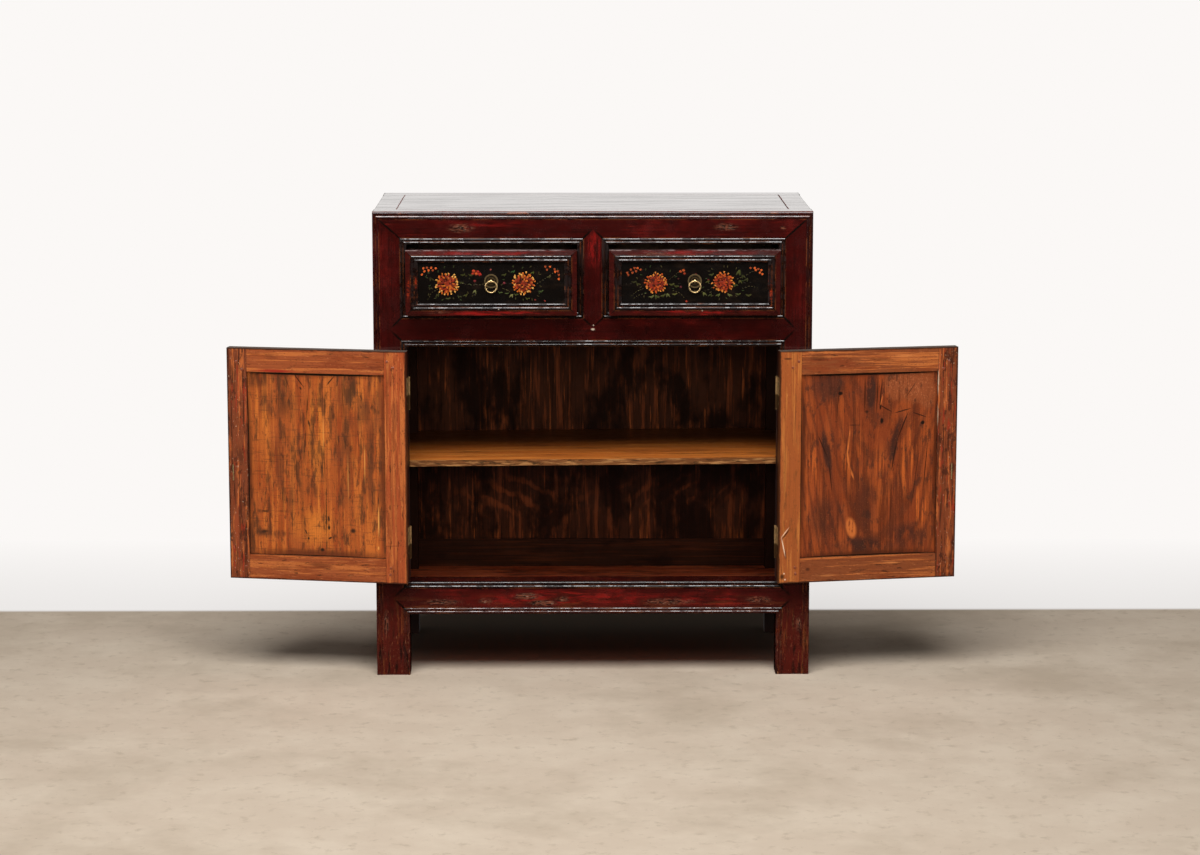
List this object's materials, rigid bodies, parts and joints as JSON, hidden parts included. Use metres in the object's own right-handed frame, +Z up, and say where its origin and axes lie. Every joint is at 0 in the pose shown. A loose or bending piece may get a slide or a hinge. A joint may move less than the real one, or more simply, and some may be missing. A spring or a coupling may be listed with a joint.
{
  "type": "kang cabinet",
  "caption": "Low lacquered wooden cabinet with drawers over a two-door cupboard, an inner shelf, ring pulls and lift-off hinges, shown open.",
  "frame": {"origin": "on the floor, at the middle of the footprint of the part as it stands with its doors open and its drawers part way out; the case is centred on X = 0", "axes": "+X to the right of someone facing the cabinet, +Y from the front into the cabinet, +Z up"},
  "size_m": [1.442, 0.4812, 0.925],
  "materials": {
    "red_lacquer": "worn oxblood lacquer, semi-gloss",
    "black_lacquer": "black lacquer with painted flowers, semi-gloss",
    "door_wood": "stained and waxed elm on the inner faces, red lacquer on the outer faces",
    "shelf_wood": "stained board, satin",
    "plain_wood": "plain aged pine, matt",
    "inner_wood": "dark stained boards, satin",
    "brass": "aged, satin"
  },
  "bodies": {
    "case": {"back_panel": "inner_wood", "bottom_rail_back": "red_lacquer", "bottom_rail_front": "red_lacquer", "bottom_rail_left": "red_lacquer", "bottom_rail_right": "red_lacquer", "cupboard_floor": "inner_wood", "drawer_divider": "red_lacquer", "drawer_runners": "plain_wood", "hinge_pins": "brass", "hinge_post_leaves": "brass", "hinge_post_screws": "brass", "middle_rail_back": "inner_wood", "middle_rail_front": "red_lacquer", "post_back_left": "red_lacquer", "post_back_right": "red_lacquer", "post_front_left": "red_lacquer", "post_front_right": "red_lacquer", "shelf": "shelf_wood", "shelf_battens": "shelf_wood", "side_panel_left": "red_lacquer", "side_panel_right": "red_lacquer", "top_boards": "red_lacquer", "top_rail_back": "red_lacquer", "top_rail_front": "red_lacquer", "top_rail_left": "red_lacquer", "top_rail_right": "red_lacquer"},
    "door_left": {"door_left_hinge_stile": "door_wood", "door_left_meeting_stile": "door_wood", "door_left_panel": "door_wood", "door_left_pull_pin": "brass", "door_left_pull_plate": "brass", "door_left_rails": "door_wood", "hinge_left_door_leaves": "brass", "hinge_left_door_screws": "brass"},
    "drawer_left": {"drawer_left_back": "plain_wood", "drawer_left_bottom": "plain_wood", "drawer_left_front_frame": "red_lacquer", "drawer_left_painted_panel": "black_lacquer", "drawer_left_pull_pin": "brass", "drawer_left_pull_plate": "brass", "drawer_left_sides": "plain_wood"},
    "ring_door_left": {"door_left_pull_ring": "brass"},
    "ring_drawer_left": {"drawer_left_pull_ring": "brass"},
    "door_right": {"door_right_hinge_stile": "door_wood", "door_right_meeting_stile": "door_wood", "door_right_panel": "door_wood", "door_right_pull_pin": "brass", "door_right_pull_plate": "brass", "door_right_rails": "door_wood", "hinge_right_door_leaves": "brass", "hinge_right_door_screws": "brass"},
    "drawer_right": {"drawer_right_back": "plain_wood", "drawer_right_bottom": "plain_wood", "drawer_right_front_frame": "red_lacquer", "drawer_right_painted_panel": "black_lacquer", "drawer_right_pull_pin": "brass", "drawer_right_pull_plate": "brass", "drawer_right_sides": "plain_wood"},
    "ring_door_right": {"door_right_pull_ring": "brass"},
    "ring_drawer_right": {"drawer_right_pull_ring": "brass"}
  },
  "joints": [
    {"name": "door_left_hinge", "type": "hinge", "parent": "case", "child": "door_left", "pos_m": [-0.3615, -0.18594, 0.42375], "axis": [0, 0, 1], "range_deg": [0, 190.5]},
    {"name": "drawer_left_slide", "type": "slide", "parent": "case", "child": "drawer_left", "axis": [0, -1, 0], "range_m": [-0.058, 0.182]},
    {"name": "drawer_left_ring", "type": "hinge", "parent": "drawer_left", "child": "ring_drawer_left", "pos_m": [-0.19725, -0.23695, 0.7955], "axis": [-1, 0, 0], "range_deg": [0, 150]},
    {"name": "door_left_ring", "type": "hinge", "parent": "door_left", "child": "ring_door_left", "pos_m": [-0.70679, -0.1256, 0.406], "axis": [0.9833, -0.1822, 0], "range_deg": [0, 150]},
    {"name": "door_right_hinge", "type": "hinge", "parent": "case", "child": "door_right", "pos_m": [0.3615, -0.18594, 0.42375], "axis": [0, 0, -1], "range_deg": [0, 190.5]},
    {"name": "drawer_right_slide", "type": "slide", "parent": "case", "child": "drawer_right", "axis": [0, -1, 0], "range_m": [-0.058, 0.182]},
    {"name": "drawer_right_ring", "type": "hinge", "parent": "drawer_right", "child": "ring_drawer_right", "pos_m": [0.19725, -0.23695, 0.7955], "axis": [-1, 0, 0], "range_deg": [0, 150]},
    {"name": "door_right_ring", "type": "hinge", "parent": "door_right", "child": "ring_door_right", "pos_m": [0.70679, -0.1256, 0.406], "axis": [0.9833, 0.1822, 0], "range_deg": [0, 150]}
  ]
}
